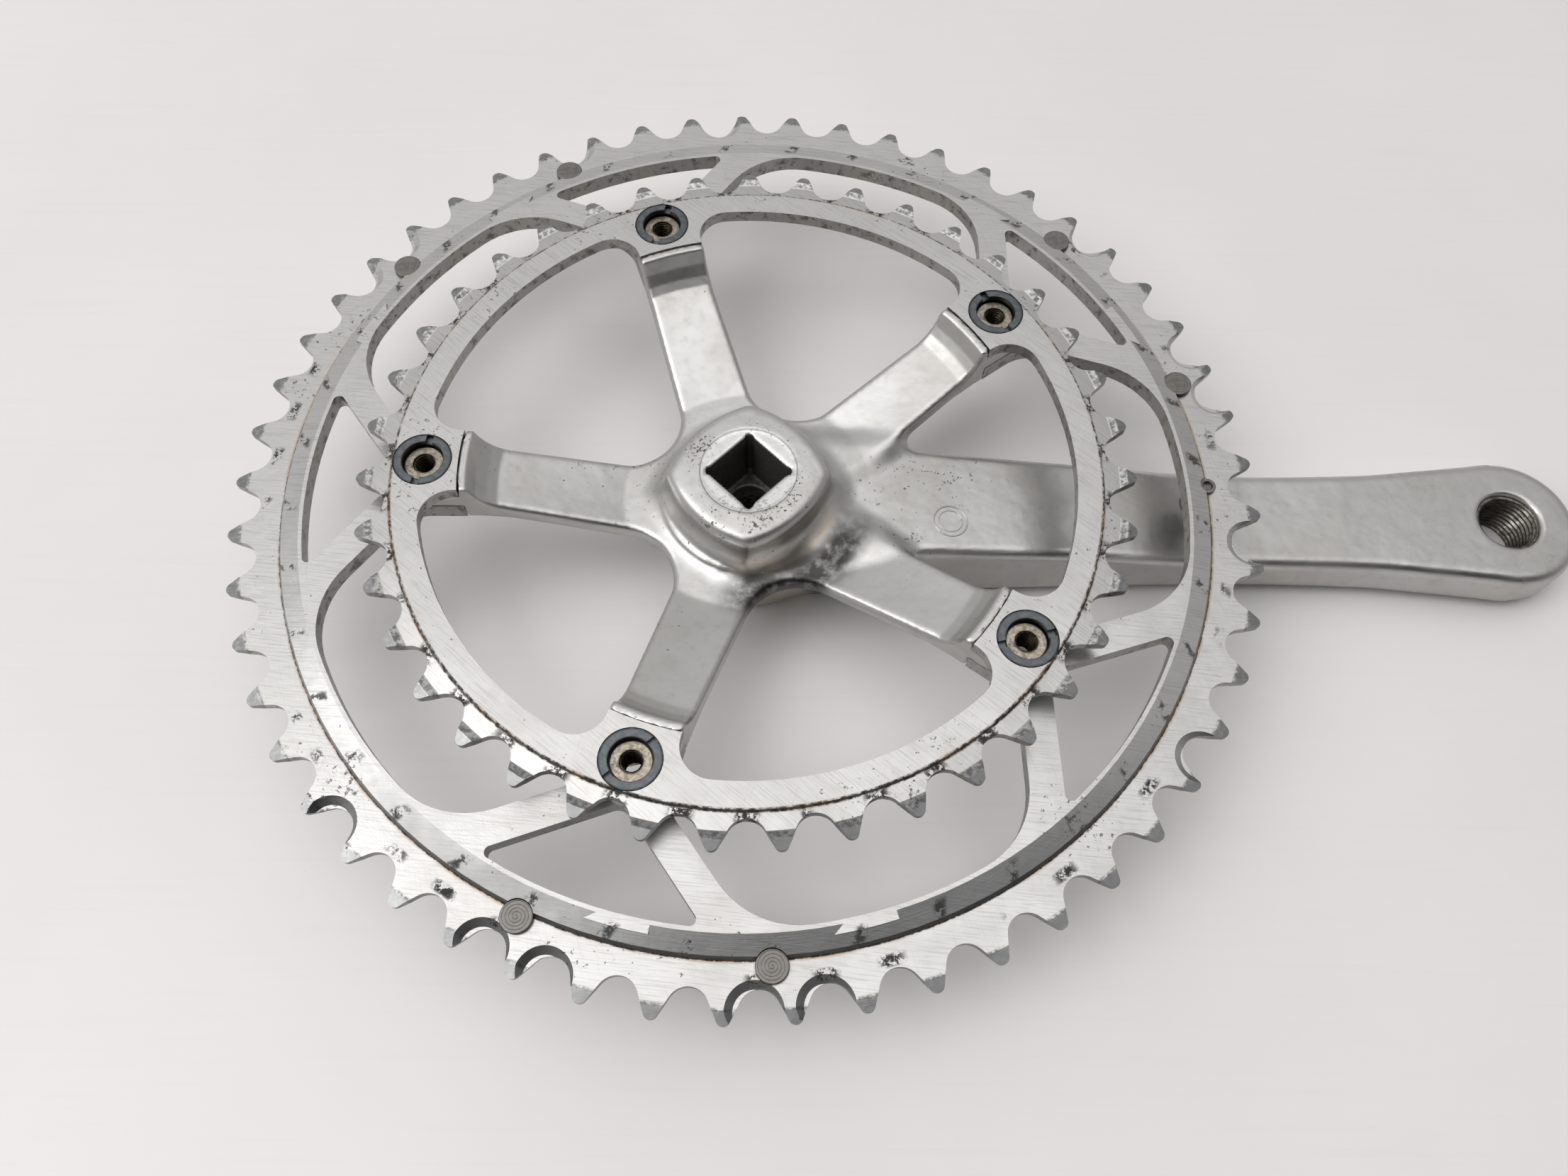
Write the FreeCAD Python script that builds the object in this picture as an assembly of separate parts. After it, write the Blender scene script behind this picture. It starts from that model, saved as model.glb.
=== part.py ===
import FreeCAD, Part
import math
import os
from FreeCAD import Vector

# Drive-side bicycle crankset: a forged crank arm with a five-arm spider, two toothed
# chainrings, and the bolts, nuts and pins that hold or guide them.
# Millimetres. +Z is the inboard side (towards the frame), +X runs along the crank arm.
# The origin is on the spindle axis, in the plane of the hub's inboard face.

# ---------------------------------------------------------------- driving dimensions
# chain and tooth form
PITCH = 12.7                 # half-inch chain
SEAT_R = 3.9                 # radius of the roller seat between two teeth
TIP_HALF = 1.25              # half the tooth's width where its tip starts to round
TIP_ROUND = 0.9              # height of the rounded tip
TOOTH_RISE = 2.4             # tip above the pitch circle, large ring
INNER_TOOTH_RISE = 2.1       # the same, small ring
OUTER_TEETH = 53
INNER_TEETH = 39
OUTER_FIRST_VALLEY = 0.0     # angle of one tooth gap, large ring
INNER_FIRST_VALLEY = 2.77    # the same, small ring

# spider and its bolts
ARMS = 5
FIRST_ARM = 36.0             # angle of the first spider arm from the crank arm
BOLT_CIRCLE = 135.0
TAB_WALL = 1.15              # metal beside the counterbore of every bolt tab
TAB_SHY = 0.02               # the spider's tabs are narrower than the rings' tabs by this
TAB_THICK = 4.0              # spider tab between the two rings
PILOT_INSET = 7.5            # from the bolt circle in to the shoulder that centres the rings
PILOT_GAP = 0.1              # radial room between the shoulder and a ring's tab
SLEEVE_R = 5.0               # the nut's sleeve, which locates all three tabs
SLEEVE_GAP = 0.1             # radial room round the sleeve
FLANGE_LIP = 1.0             # nut flange and bolt head, past the sleeve
FLANGE_GAP = 0.15            # radial room round them in their counterbores
FLANGE_THICK = 1.5
HEAD_THICK = 2.2
HEAD_CHAMFER = 0.4
HEAD_SINK = 1.2              # depth of the bolt head's counterbore
NUT_SLOT = 1.5               # width of the two driver slots
NUT_SLOT_DEEP = 1.0
NUT_SLOT_ANGLES = (116.0, 76.0, 80.0, 40.0, 14.0)   # where each nut came to rest
NUT_WALL = 1.1               # the sleeve's wall outside the bolt's shank
NUT_MOUTH_WALL = 0.7         # thinner wall at its mouth, which shows the bolt's end
NUT_MOUTH_DEEP = 2.4
THREAD_GAP = 0.05
BOLT_END_SINK = 1.6          # the bolt's end below the nut's face
BOLT_WALL = 1.6              # of the hollow bolt's shank
BOLT_HEX = 5.0               # across flats of the key socket
HEX_DEEP = 3.0
SLEEVE_SHORT = 0.5           # the sleeve ends this far short of the bolt's head

# small (inner) chainring
INNER_FACE = 3.2             # inboard face, above the hub's inboard face
INNER_THICK = 3.0
INNER_RIM_DEEP = 6.7         # from the tooth roots in to the open middle
INNER_STEP_IN = 1.4          # from the tooth roots in to the step of the raised annulus
INNER_TAB_LAND = 0.6         # straight side of a tab before it flows into the rim
STEP_WIDE = 0.3              # every step on a ring slopes over this width
INNER_STEP_DROP = 0.7
INNER_WAIST_IN = 1.6         # crease of the tooth flanks, inside the pitch circle
INNER_WAIST_DROP = 1.1       # and below the face
INNER_TIP_DROP = 1.5
INNER_TIP_THICK = 0.9

# large (outer) chainring
OUTER_BODY_THICK = 3.9
RIM_IN_DROP = 9.9            # from the tooth roots in to the ring's windows
RIM_LEDGE = 0.8              # flat ledge round the windows
CONE_WIDE = 3.8              # sloping band between the ledge and the step
CONE_DROP = 1.0
STEP_DROP = 1.2              # from the band's foot down to the tooth plate
OUTER_STEP_WIDE = 0.7
TOOTH_THICK = 2.0
TIP_CHAMFER = 0.5            # on both faces of the large ring's teeth
TIP_CHAMFER_WIDE = 2.6
SPOKE_WIDE = 6.5
SPOKE_LEAN = 53.0            # degrees between a spoke and the radius through its bolt
WINDOW_HALF_ANGLE = 13.7     # each bolt window, at the rim
WINDOW_TOP_FILLET = 1.2
WINDOW_APEX_FILLET = 2.6
SPOKE_RIM_FILLET = 18.0      # where a spoke flows into the rim
SPOKE_TAB_FILLET = 9.0       # where it flows into the bolt tab

# gear-change aids on the large ring
PIN_ANGLES = (15.5, 43.0, 117.1, 144.2, 245.9, 273.1)
PIN_R = 3.1
PIN_PROUD = 1.0
PIN_OUT_OF_STEP = 1.0        # the pins' circle outside the step
PIN_GAP = 0.02
PIN_EDGE_R = 0.2
RAMP_LEAD = 6.8              # angle from a pin to the start of its ramp
RAMP_SPAN = 7.2
RAMP_WIDE = 1.6              # past the ledge
RAMP_LEAN = 2.4              # its low end slants by this much
CUT_VALLEYS = (2, 3, 6, 14, 17, 21, 22, 33, 36, 37, 40, 41, 48, 52)
CUT_WIDE = 1.5               # bevel round those tooth gaps
CUT_DEEP = 1.3
CUT_SHIFT = 0.9              # the cutter's centre past the tooth gap's middle
STOP_PIN_ANGLE = 0.0
STOP_PIN_R = 3.6             # peg behind the crank arm that catches a dropped chain
STOP_PIN_REACH = 6.0
STOP_PIN_EDGE_R = 0.8
STOP_RIVET_R = 1.75
STOP_RIVET_PROUD = 0.8
STOP_RIVET_WALL = 0.6

# hub
BOSS_CORNER = 17.4           # axis to the boss's corners
BOSS_SIDE = 15.3             # axis to the middle of its bulged sides
BOSS_CORNER_R = 3.0
BOSS_EDGE_R = 2.2
BOSS_FLARE_TOP = 3.0         # depth where the flare leaves the boss
FLARE_INSET = 0.4            # its top, inside the boss's bulged sides
FLARE_R = 27.0               # where the flare meets the spider
HUB_R = 17.5                 # round the extractor thread
HUB_HEIGHT = 32.3            # inboard face to the outboard face
HUB_EDGE_R = 2.5
SOCKET_ACROSS = 13.0         # square taper, across flats at the inboard face
SOCKET_TAPER = 2.0           # degrees, each flat
SOCKET_DEEP = 14.0
SOCKET_CORNER_R = 1.6
SPOTFACE_ROOM = 1.6          # past the socket's corners
SPOTFACE_DEEP = 0.25
SHELF_THICK = 4.0            # web that the crank bolt's head bears on
CRANK_BOLT_R = 4.25          # clears the crank bolt's thread
EXTRACTOR_R = 10.5           # wall of the M22 x 1 thread
MOUTH_CHAMFER = 0.8

# spider arms
ARM_ROOT_HALF = 8.96         # half-width where the sides' lines would pass the axis
ARM_TAPER = 0.0273           # how much half-width is lost for each unit of radius
CROTCH_R = 12.0              # between neighbouring arms
LIP_WIDE = 1.7               # shoulder that centres the small ring
LIP_DROP = 0.3               # its top, below the small ring's face
DISH_FOOT = 9.5              # from the shoulder in to the foot of the arm's hollow ramp
DISH_FOOT_Z = -4.4
DISH_RUN = 0.33              # middle of the ramp: share of its run in from the lip
DISH_RISE = 0.3              # and share of its rise up from the foot
SPIDER_ROOT_Z = -11.3        # inboard surface where the flare meets the spider
SPIDER_THICK = 4.4
BACK_SHOULDER = 2.5          # outboard shoulder that centres the large ring

# crank arm and pedal eye
CRANK_LENGTH = 172.5
EYE_R = 15.9
ARM_ROOT_HALF_WIDE = 15.6    # half-width at the spindle axis
ARM_HIP_AT = 0.274           # along the crank length: just outside the hub
ARM_HIP_HALF = 13.7
ARM_WAIST_AT = 0.62          # along the crank length: the narrowest place
ARM_WAIST_HALF = 12.2
ARM_FLAT_AT = 0.79           # along the crank length: the inboard face is flat from here out
ARM_HIP_DROP = 0.4           # the inboard face below the spider's root, under the flare's foot
ARM_WAIST_RISE = 0.3         # and above the eye's face, at the waist
EYE_JOIN = 105.0             # angle round the eye where the arm's sides meet it
EYE_THICK = 12.8
ARM_EDGE_R = 3.0
ARM_BACK_R = 4.5
PEDAL_R = 6.5                # wall of the 9/16 inch x 20 thread
PEDAL_MOUTH_WIDE = 1.0
PEDAL_MOUTH_DEEP = 1.0

# ---------------------------------------------------------------- worked-out values
OVER = 1.0                   # every cutter runs this far past the face it opens
TINY = 1e-6                  # two heights closer than this are one height

FLANGE_R = SLEEVE_R + FLANGE_LIP
COUNTERBORE_R = FLANGE_R + FLANGE_GAP
TAB_HALF = COUNTERBORE_R + TAB_WALL
SPIDER_TAB_HALF = TAB_HALF - TAB_SHY
SHANK_R = SLEEVE_R - NUT_WALL
NUT_MOUTH_R = SLEEVE_R - NUT_MOUTH_WALL
BOLT_BORE_R = SHANK_R - BOLT_WALL
BOLT_R = BOLT_CIRCLE / 2
PILOT_R = BOLT_R - PILOT_INSET
RING_TAB_R = PILOT_R + PILOT_GAP
HOLE_R = SLEEVE_R + SLEEVE_GAP
ARM_ANGLES = [FIRST_ARM + k * 360 / ARMS for k in range(ARMS)]
HALF_SECTOR = 180 / ARMS
CORE_R = PILOT_R - TAB_HALF

OUTER_PITCH_R = PITCH / 2 / math.sin(math.pi / OUTER_TEETH)
INNER_PITCH_R = PITCH / 2 / math.sin(math.pi / INNER_TEETH)
OUTER_ROOT_R = OUTER_PITCH_R - SEAT_R
INNER_ROOT_R = INNER_PITCH_R - SEAT_R
OUTER_TIP_R = OUTER_PITCH_R + TOOTH_RISE
INNER_TIP_R = INNER_PITCH_R + INNER_TOOTH_RISE

INNER_BACK = INNER_FACE - INNER_THICK
TAB_BACK = INNER_BACK - TAB_THICK
OUTER_BACK = TAB_BACK - OUTER_BODY_THICK
TOOTH_FACE = TAB_BACK - CONE_DROP - STEP_DROP
TOOTH_BACK = TOOTH_FACE - TOOTH_THICK

RIM_IN = OUTER_ROOT_R - RIM_IN_DROP
LEDGE_R = RIM_IN + RIM_LEDGE
CONE_R = LEDGE_R + CONE_WIDE
STEP_R = CONE_R + OUTER_STEP_WIDE
PIN_CIRCLE = STEP_R + PIN_OUT_OF_STEP
INNER_STEP_R = INNER_ROOT_R - INNER_STEP_IN
INNER_RIM_IN = INNER_ROOT_R - INNER_RIM_DEEP

OUTBOARD = -HUB_HEIGHT
EYE_FACE = OUTBOARD + EYE_THICK
LIP_TOP = INNER_FACE - LIP_DROP
LIP_R = PILOT_R - LIP_WIDE
DISH_FOOT_R = PILOT_R - DISH_FOOT
HEAD_SEAT = OUTER_BACK + HEAD_SINK
HEAD_BACK = HEAD_SEAT - HEAD_THICK
NUT_END = HEAD_SEAT + SLEEVE_SHORT
SPOTFACE_R = SOCKET_ACROSS / math.sqrt(2) - SOCKET_CORNER_R * (math.sqrt(2) - 1) + SPOTFACE_ROOM
PEDAL_MOUTH_R = PEDAL_R + PEDAL_MOUTH_WIDE


# ---------------------------------------------------------------- geometry helpers
def at(radius, degrees, z=0.0):
    """Point at a radius and an angle about the spindle axis."""
    angle = math.radians(degrees)
    return Vector(radius * math.cos(angle), radius * math.sin(angle), z)


def line(a, b):
    return Part.LineSegment(a, b).toShape()


def arc(a, middle, b):
    return Part.Arc(a, middle, b).toShape()


def prism(edges, low, high):
    """Solid between two heights over a closed outline drawn at z = 0."""
    face = Part.Face(Part.Wire(edges))
    solid = face.extrude(Vector(0, 0, high - low))
    solid.translate(Vector(0, 0, low))
    return solid


def turned(edges):
    """Solid of revolution about the spindle axis from a closed outline in the XZ plane."""
    return Part.Face(Part.Wire(edges)).revolve(Vector(0, 0, 0), Vector(0, 0, 1), 360)


def turned_polygon(points):
    return turned(polygon([Vector(r, 0, z) for r, z in points]))


def cylinder(radius, low, high, centre=Vector(0, 0, 0)):
    return Part.makeCylinder(radius, high - low, Vector(centre.x, centre.y, low))


def cone(low_r, high_r, low, high, centre=Vector(0, 0, 0)):
    return Part.makeCone(low_r, high_r, high - low, Vector(centre.x, centre.y, low))


def turn(shape, degrees, centre=Vector(0, 0, 0)):
    copy = shape.copy()
    copy.rotate(centre, Vector(0, 0, 1), degrees)
    return copy


def every_arm(shape):
    """Copies of a shape drawn on +X, one for each spider arm."""
    return [turn(shape, angle) for angle in ARM_ANGLES]


def polygon(points):
    return [line(a, b) for a, b in zip(points, points[1:] + points[:1])]


def mirrored(points):
    """The same points on the other side of the X axis, in reverse order."""
    return [Vector(p.x, -p.y, p.z) for p in reversed(points)]


def arc_about(centre, start, end):
    """The shorter arc between two points at one distance from a centre."""
    bisector = ((start - centre).normalize() + (end - centre).normalize()).normalize()
    return [start, centre + bisector * (start - centre).Length, end]


def edges_at(solid, height):
    """Edges that lie wholly at one height."""
    return [e for e in solid.Edges
            if abs(e.BoundBox.ZMin - height) < TINY and abs(e.BoundBox.ZMax - height) < TINY]


def rounded_square(across, corner_r):
    """Edges of a square with its corners on the X and Y axes, each corner an arc."""
    centre = at(across / math.sqrt(2) - corner_r * math.sqrt(2), 0)
    corner = [centre + at(corner_r, -45), centre + at(corner_r, 0), centre + at(corner_r, 45)]
    ends = [[turn(Part.Vertex(p), 90 * k).Point for p in corner] for k in range(4)]
    edges = []
    for this, following in zip(ends, ends[1:] + ends[:1]):
        edges += [arc(*this), line(this[2], following[0])]
    return edges


# ---------------------------------------------------------------- chainrings
def tooth_outline(teeth, pitch_r, tip_r, first_valley):
    """Closed outline of a sprocket: a round roller seat, straight flanks and a rounded tip."""
    step = 360 / teeth
    shoulder_r = tip_r - TIP_ROUND
    shoulder_angle = step / 2 - math.degrees(TIP_HALF / shoulder_r)
    shoulder = at(shoulder_r, shoulder_angle)
    reach = shoulder - Vector(pitch_r, 0, 0)
    bearing = math.atan2(reach.y, reach.x) + math.acos(SEAT_R / reach.Length)
    seat_end = Vector(pitch_r + SEAT_R * math.cos(bearing), SEAT_R * math.sin(bearing), 0)
    seat_r = math.hypot(seat_end.x, seat_end.y)
    seat_angle = math.degrees(math.atan2(seat_end.y, seat_end.x))
    edges = []
    for k in range(teeth):
        valley = first_valley + k * step
        seat = [at(seat_r, valley - seat_angle), at(pitch_r - SEAT_R, valley),
                at(seat_r, valley + seat_angle)]
        tip = [at(shoulder_r, valley + shoulder_angle), at(tip_r, valley + step / 2),
               at(shoulder_r, valley + step - shoulder_angle)]
        edges += [arc(*seat), line(seat[2], tip[0]), arc(*tip),
                  line(tip[2], at(seat_r, valley + step - seat_angle))]
    return edges


def ring_opening(corner, flank, rim_r, rim_angle):
    """Closed outline of a ring's open middle, with its bolt tabs standing into it."""
    tab_end = [Vector(corner.x, -corner.y, 0), Vector(corner.Length, 0, 0), corner]
    rim = [at(rim_r, rim_angle), at(rim_r, HALF_SECTOR), at(rim_r, 2 * HALF_SECTOR - rim_angle)]
    sector = [mirrored(points) for points in reversed(flank)] + [tab_end] + flank + [rim]
    edges = []
    for angle in ARM_ANGLES:
        for points in sector:
            edge = arc(*points) if len(points) == 3 else line(*points)
            edges.append(turn(edge, angle))
    return edges


def tab_corner():
    """Inner corner of a ring's bolt tab, on the +Y side of an arm on +X."""
    return Vector(math.sqrt(RING_TAB_R ** 2 - TAB_HALF ** 2), TAB_HALF, 0)


def inner_opening():
    """The small ring's open middle: each tab flows into the rim through one arc."""
    corner = tab_corner()
    foot = corner + Vector(INNER_TAB_LAND, 0, 0)
    fillet = (INNER_RIM_IN ** 2 - foot.Length ** 2) / (2 * (INNER_RIM_IN + TAB_HALF))
    centre = foot + Vector(0, fillet, 0)
    rim_angle = math.degrees(math.atan2(centre.y, centre.x))
    flank = [[corner, foot], arc_about(centre, foot, at(INNER_RIM_IN, rim_angle))]
    return ring_opening(corner, flank, INNER_RIM_IN, rim_angle)


def bolt_holes(low, high):
    return [cylinder(HOLE_R, low, high, at(BOLT_R, angle)) for angle in ARM_ANGLES]


def counterbores(low, high):
    return [cylinder(COUNTERBORE_R, low, high, at(BOLT_R, angle)) for angle in ARM_ANGLES]


def inner_chainring():
    low, high = INNER_BACK - OVER, INNER_FACE + OVER
    outline = prism(tooth_outline(INNER_TEETH, INNER_PITCH_R, INNER_TIP_R, INNER_FIRST_VALLEY), low, high)
    tip_face = INNER_FACE - INNER_TIP_DROP
    body = turned_polygon([
        (CORE_R, INNER_FACE), (INNER_STEP_R, INNER_FACE),
        (INNER_STEP_R + STEP_WIDE, INNER_FACE - INNER_STEP_DROP),
        (INNER_PITCH_R - INNER_WAIST_IN, INNER_FACE - INNER_WAIST_DROP),
        (INNER_PITCH_R, INNER_FACE - INNER_STEP_DROP),
        (INNER_TIP_R + OVER, tip_face), (INNER_TIP_R + OVER, tip_face - INNER_TIP_THICK),
        (INNER_PITCH_R, INNER_BACK), (CORE_R, INNER_BACK)])
    ring = body.common(outline).cut(prism(inner_opening(), low, high))
    ring = ring.cut(Part.makeCompound(bolt_holes(low, high)))
    return ring.cut(Part.makeCompound(counterbores(INNER_FACE - FLANGE_THICK, high)))


def spoke_edge():
    """Direction of a spoke, the side of it that faces away from its bolt, and its inner rim corner."""
    return at(1, SPOKE_LEAN), at(1, SPOKE_LEAN + 90), at(RIM_IN, WINDOW_HALF_ANGLE)


def into_rim(point, along, side, radius):
    """Arc from a straight edge through a point into the rim, tangent to both."""
    base = point + side * radius
    reach = base.dot(along)
    centre = base + along * (math.sqrt(reach ** 2 - base.Length ** 2 + (RIM_IN - radius) ** 2) - reach)
    rim_angle = math.degrees(math.atan2(centre.y, centre.x))
    return arc_about(centre, centre - side * radius, at(RIM_IN, rim_angle)), rim_angle


def bolt_window():
    """Rounded triangle between the two spokes of one bolt, on +X."""
    along, away, rim_corner = spoke_edge()
    corner, _ = into_rim(rim_corner, along, away * -1, WINDOW_TOP_FILLET)
    centre_x = rim_corner.x - rim_corner.y * along.x / along.y + WINDOW_APEX_FILLET / along.y
    point = Vector(centre_x - WINDOW_APEX_FILLET, 0, 0)
    side = [Vector(centre_x, 0, 0) + away * WINDOW_APEX_FILLET, corner[0]]
    crown = [corner[2], Vector(RIM_IN, 0, 0), mirrored(corner)[0]]
    edges = [arc(mirrored(side)[1], point, side[0]), line(*side), arc(*corner), arc(*crown),
             arc(*mirrored(corner)), line(*mirrored(side))]
    return prism(edges, TOOTH_BACK - OVER, INNER_FACE)


def outer_opening():
    """The large ring's open middle: each tab splits into two spokes that flow into the rim."""
    along, away, rim_corner = spoke_edge()
    outer_point = rim_corner + away * SPOKE_WIDE
    rim_arc, rim_angle = into_rim(outer_point, along, away, SPOKE_RIM_FILLET)
    meet = outer_point - along * ((outer_point.y - TAB_HALF) / along.y)
    reach = SPOKE_TAB_FILLET * math.tan(math.radians(SPOKE_LEAN / 2))
    low = meet - Vector(reach, 0, 0)
    tab_arc = arc_about(low + Vector(0, SPOKE_TAB_FILLET, 0), low, meet + along * reach)
    corner = tab_corner()
    flank = [[corner, low], tab_arc, [tab_arc[2], rim_arc[0]], rim_arc]
    return ring_opening(corner, flank, RIM_IN, rim_angle)


def ramp(pin_angle):
    """Raised pad on the sloping band that lifts the chain after its pin."""
    start = pin_angle + RAMP_LEAD
    end = start + RAMP_SPAN
    inner, outer = (RIM_IN + LEDGE_R) / 2, LEDGE_R + RAMP_WIDE
    inner_start = start + math.degrees(RAMP_LEAN / LEDGE_R)
    middle = (inner_start + end) / 2
    return prism([arc(at(inner, inner_start), at(inner, middle), at(inner, end)),
                  line(at(inner, end), at(outer, end)),
                  arc(at(outer, end), at(outer, middle), at(outer, start)),
                  line(at(outer, start), at(inner, inner_start))],
                 TAB_BACK - CONE_DROP, TAB_BACK)


def valley_cut(index):
    """Cutter that bevels one tooth gap, so that the chain can pass there."""
    shift = math.degrees(CUT_SHIFT / OUTER_PITCH_R)
    centre = at(OUTER_PITCH_R, OUTER_FIRST_VALLEY + index * 360 / OUTER_TEETH - shift)
    top_r = SEAT_R + CUT_WIDE * (1 + OVER / CUT_DEEP)
    return cone(SEAT_R, top_r, TOOTH_FACE - CUT_DEEP, TOOTH_FACE + OVER, centre)


def outer_chainring():
    low, high = TOOTH_BACK - OVER, TAB_BACK + OVER
    outline = prism(tooth_outline(OUTER_TEETH, OUTER_PITCH_R, OUTER_TIP_R, OUTER_FIRST_VALLEY), low, high)
    chamfer_r = OUTER_TIP_R - TIP_CHAMFER_WIDE
    end_r = OUTER_TIP_R + OVER
    end_drop = TIP_CHAMFER * (1 + OVER / TIP_CHAMFER_WIDE)
    body = turned_polygon([
        (CORE_R, TAB_BACK), (LEDGE_R, TAB_BACK), (CONE_R, TAB_BACK - CONE_DROP), (STEP_R, TOOTH_FACE),
        (chamfer_r, TOOTH_FACE), (end_r, TOOTH_FACE - end_drop), (end_r, TOOTH_BACK + end_drop),
        (chamfer_r, TOOTH_BACK), (STEP_R, TOOTH_BACK), (CONE_R, OUTER_BACK), (CORE_R, OUTER_BACK)])
    ring = body.common(outline).cut(prism(outer_opening(), low, high))
    ring = ring.cut(Part.makeCompound(every_arm(bolt_window())))
    ring = ring.fuse([ramp(angle) for angle in PIN_ANGLES])
    ring = ring.cut(Part.makeCompound([valley_cut(index) for index in CUT_VALLEYS]))
    ring = ring.cut(Part.makeCompound(bolt_holes(low, high)))
    ring = ring.cut(Part.makeCompound(counterbores(OUTER_BACK - OVER, HEAD_SEAT)))
    pin_holes = [cylinder(PIN_R + PIN_GAP, low, high, at(PIN_CIRCLE, angle)) for angle in PIN_ANGLES]
    pin_holes.append(cylinder(STOP_RIVET_R + PIN_GAP, low, high, at(STEP_R, STOP_PIN_ANGLE)))
    return ring.cut(Part.makeCompound(pin_holes)).removeSplitter()


# ---------------------------------------------------------------- fasteners and pins
def chainring_nut(slot_angle):
    """Sleeve nut on +X: a slotted flange, flush in the small ring, and a sleeve through the tabs."""
    centre = Vector(BOLT_R, 0, 0)
    flange_back = INNER_FACE - FLANGE_THICK
    nut = cylinder(FLANGE_R, flange_back, INNER_FACE, centre)
    nut = nut.fuse(cylinder(SLEEVE_R, NUT_END, flange_back, centre))
    nut = nut.cut(cylinder(SHANK_R + THREAD_GAP, NUT_END - OVER, INNER_FACE, centre))
    nut = nut.cut(cylinder(NUT_MOUTH_R, INNER_FACE - NUT_MOUTH_DEEP, INNER_FACE + OVER, centre))
    slot = Part.makeBox(2 * (FLANGE_R + OVER), NUT_SLOT, NUT_SLOT_DEEP + OVER)
    slot.translate(Vector(BOLT_R - FLANGE_R - OVER, -NUT_SLOT / 2, INNER_FACE - NUT_SLOT_DEEP))
    return nut.cut(turn(slot, slot_angle, centre)).removeSplitter()


def chainring_bolt():
    """Hollow bolt on +X: a low head, sunk in the large ring, and a shank up into the nut."""
    centre = Vector(BOLT_R, 0, 0)
    bolt = cylinder(FLANGE_R, HEAD_BACK, HEAD_SEAT, centre)
    bolt = bolt.makeChamfer(HEAD_CHAMFER, edges_at(bolt, HEAD_BACK))
    bolt = bolt.fuse(cylinder(SHANK_R, HEAD_SEAT, INNER_FACE - BOLT_END_SINK, centre))
    bolt = bolt.cut(cylinder(BOLT_BORE_R, HEAD_BACK - OVER, INNER_FACE, centre))
    corner_r = BOLT_HEX / math.sqrt(3)
    corners = [centre + at(corner_r, 60 * k) for k in range(6)]
    socket = prism(polygon(corners), HEAD_BACK - OVER, HEAD_BACK + HEX_DEEP)
    return bolt.cut(socket).removeSplitter()


def shift_pin(angle):
    """Round steel pin pressed through the large ring, a little proud of the tooth plate."""
    top = TOOTH_FACE + PIN_PROUD
    pin = cylinder(PIN_R, TOOTH_BACK, top, at(PIN_CIRCLE, angle))
    return pin.makeFillet(PIN_EDGE_R, edges_at(pin, top))


def chain_stop_pin():
    """Peg on the large ring's outboard face, riveted through it."""
    centre = at(STEP_R, STOP_PIN_ANGLE)
    end = TOOTH_BACK - STOP_PIN_REACH
    peg = cylinder(STOP_PIN_R, end, TOOTH_BACK, centre)
    peg = peg.makeFillet(STOP_PIN_EDGE_R, edges_at(peg, end))
    rivet_top = TOOTH_FACE + STOP_RIVET_PROUD
    rivet = cylinder(STOP_RIVET_R, TOOTH_BACK, rivet_top, centre)
    dimple = cylinder(STOP_RIVET_R - STOP_RIVET_WALL, TOOTH_FACE, rivet_top + OVER, centre)
    return peg.fuse(rivet).cut(dimple).removeSplitter()


# ---------------------------------------------------------------- crank arm with its spider
def spider_outline():
    """Five tapered arms with round ends and round crotches between them."""
    slope = math.hypot(1, ARM_TAPER)
    half = math.radians(HALF_SECTOR)
    crotch_at = (CROTCH_R * slope + ARM_ROOT_HALF) / (math.sin(half) + ARM_TAPER * math.cos(half))
    centre = Vector(crotch_at * math.cos(half), crotch_at * math.sin(half), 0)
    foot = centre - Vector(ARM_TAPER, 1, 0).normalize() * CROTCH_R
    shoulder = Vector(LIP_R, ARM_ROOT_HALF - ARM_TAPER * LIP_R, 0)
    tab_start = Vector(PILOT_R, SPIDER_TAB_HALF, 0)
    tab_end = Vector(BOLT_R, SPIDER_TAB_HALF, 0)
    next_foot = turn(Part.Vertex(Vector(foot.x, -foot.y, 0)), 2 * HALF_SECTOR).Point
    crotch = arc(foot, at(crotch_at - CROTCH_R, HALF_SECTOR), next_foot)
    tip = arc(tab_end, Vector(BOLT_R + SPIDER_TAB_HALF, 0, 0), Vector(tab_end.x, -tab_end.y, 0))
    corners = [foot, shoulder, tab_start, tab_end]
    side = [line(a, b) for a, b in zip(corners, corners[1:])]
    other_side = [line(*mirrored([a, b])) for a, b in zip(corners, corners[1:])]
    edges = []
    for angle in ARM_ANGLES:
        edges += [turn(edge, angle) for edge in other_side + [tip] + side[::-1] + [crotch]]
    return edges


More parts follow.
